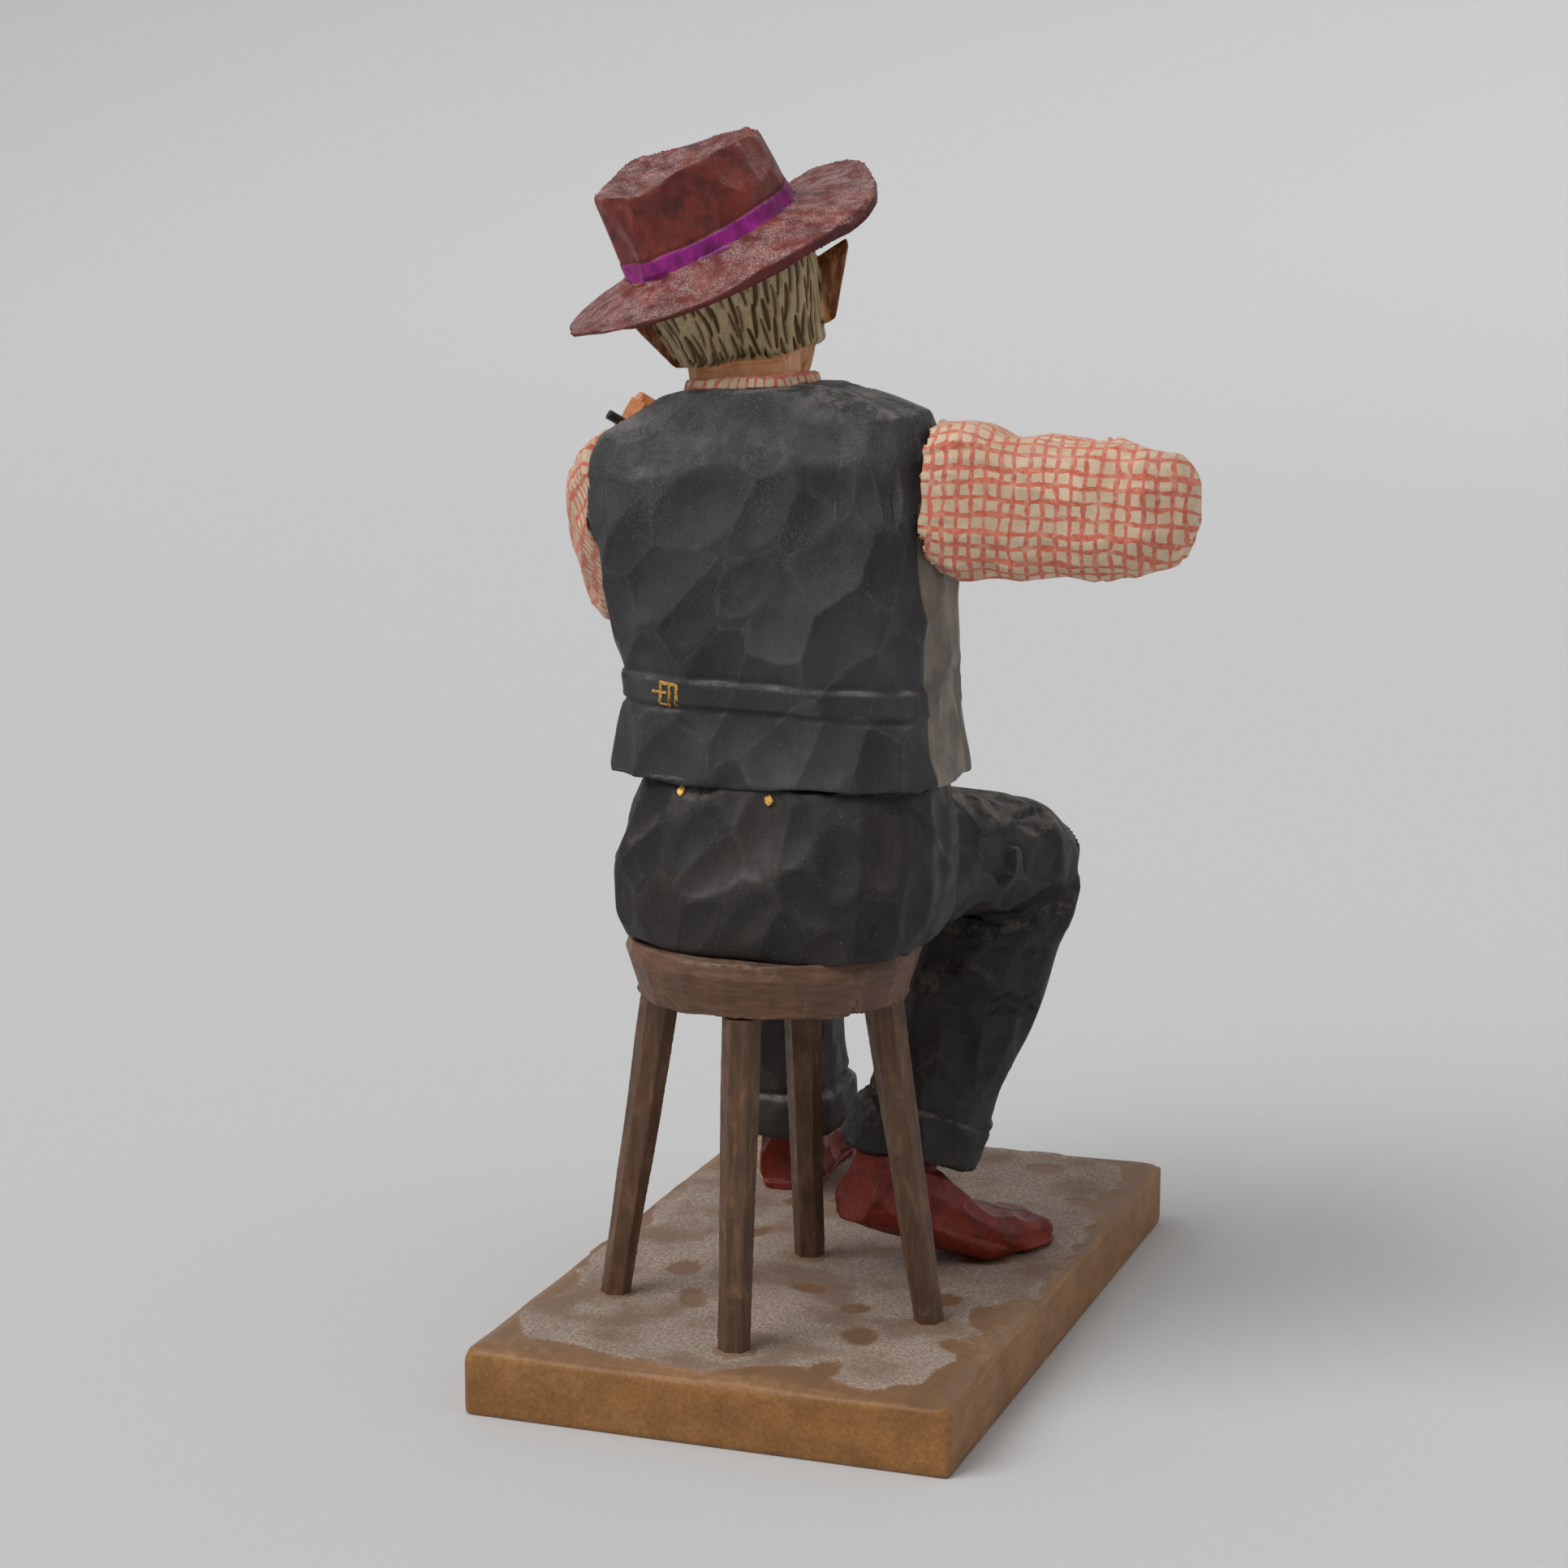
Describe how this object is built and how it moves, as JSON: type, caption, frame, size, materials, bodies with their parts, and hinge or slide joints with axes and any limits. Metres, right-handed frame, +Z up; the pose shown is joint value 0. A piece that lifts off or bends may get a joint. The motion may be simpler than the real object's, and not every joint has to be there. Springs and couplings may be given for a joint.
{
  "type": "carved wooden seated fiddler figurine",
  "caption": "Flat-plane carved and painted wooden fiddler in a brimmed hat, seated on a splay-legged round stool on a rectangular board.",
  "frame": {"origin": "centre of the board's underside, on the surface that it stands on", "axes": "+Z up; the figure faces -Y and its left hand side is +X; the board's long side runs along Y"},
  "size_m": [0.2184, 0.234, 0.3509],
  "materials": {
    "board": "sawn board, thin brown paint, dusty top",
    "stool": "whittled wood, thin mauve-brown paint",
    "trousers": "knife-planed wood, thin matt black paint",
    "vest": "gouge-cut wood, matt charcoal paint, taupe fronts",
    "shirt": "carved wood, cream paint with a hand-painted red check",
    "skin": "knife-cut wood, thin flesh-tone paint",
    "hat": "knife-planed wood, dark red-brown paint, dusty",
    "shoes": "knife-planed wood, dark brick-red paint",
    "fiddle": "orange-brown stained wood",
    "fittings": "black painted wood",
    "bow": "brown stained wood",
    "hair": "off-white horsehair strip",
    "wire": "fine plain steel wire",
    "dowel": "bare birch dowel"
  },
  "bodies": {
    "root": {"base_board": "board", "stool_seat": "stool", "stool_leg_front": "stool", "stool_leg_rear": "stool", "stool_leg_left": "stool", "stool_leg_right": "stool", "trousers": "trousers", "right_trouser_leg": "trousers", "left_trouser_leg": "trousers", "right_shoe": "shoes", "left_shoe": "shoes", "vest": "vest", "shirt_collar": "shirt", "right_upper_sleeve": "shirt", "right_lower_sleeve": "shirt", "left_upper_sleeve": "shirt", "left_lower_sleeve": "shirt", "head": "skin", "hat": "hat", "right_hand": "skin", "left_hand": "skin", "fiddle_body": "fiddle", "fiddle_neck": "fiddle", "fiddle_fingerboard": "fittings", "fiddle_tailpiece": "fittings", "fiddle_bridge": "bow", "tuning_pegs": "fittings", "fiddle_strings": "wire", "bow_stick": "bow", "bow_frog": "fittings", "bow_hair": "hair", "seat_dowel": "dowel", "neck_dowel": "dowel", "shoulder_dowels": "dowel", "shoe_dowels": "dowel", "hat_dowel": "dowel"}
  },
  "joints": []
}
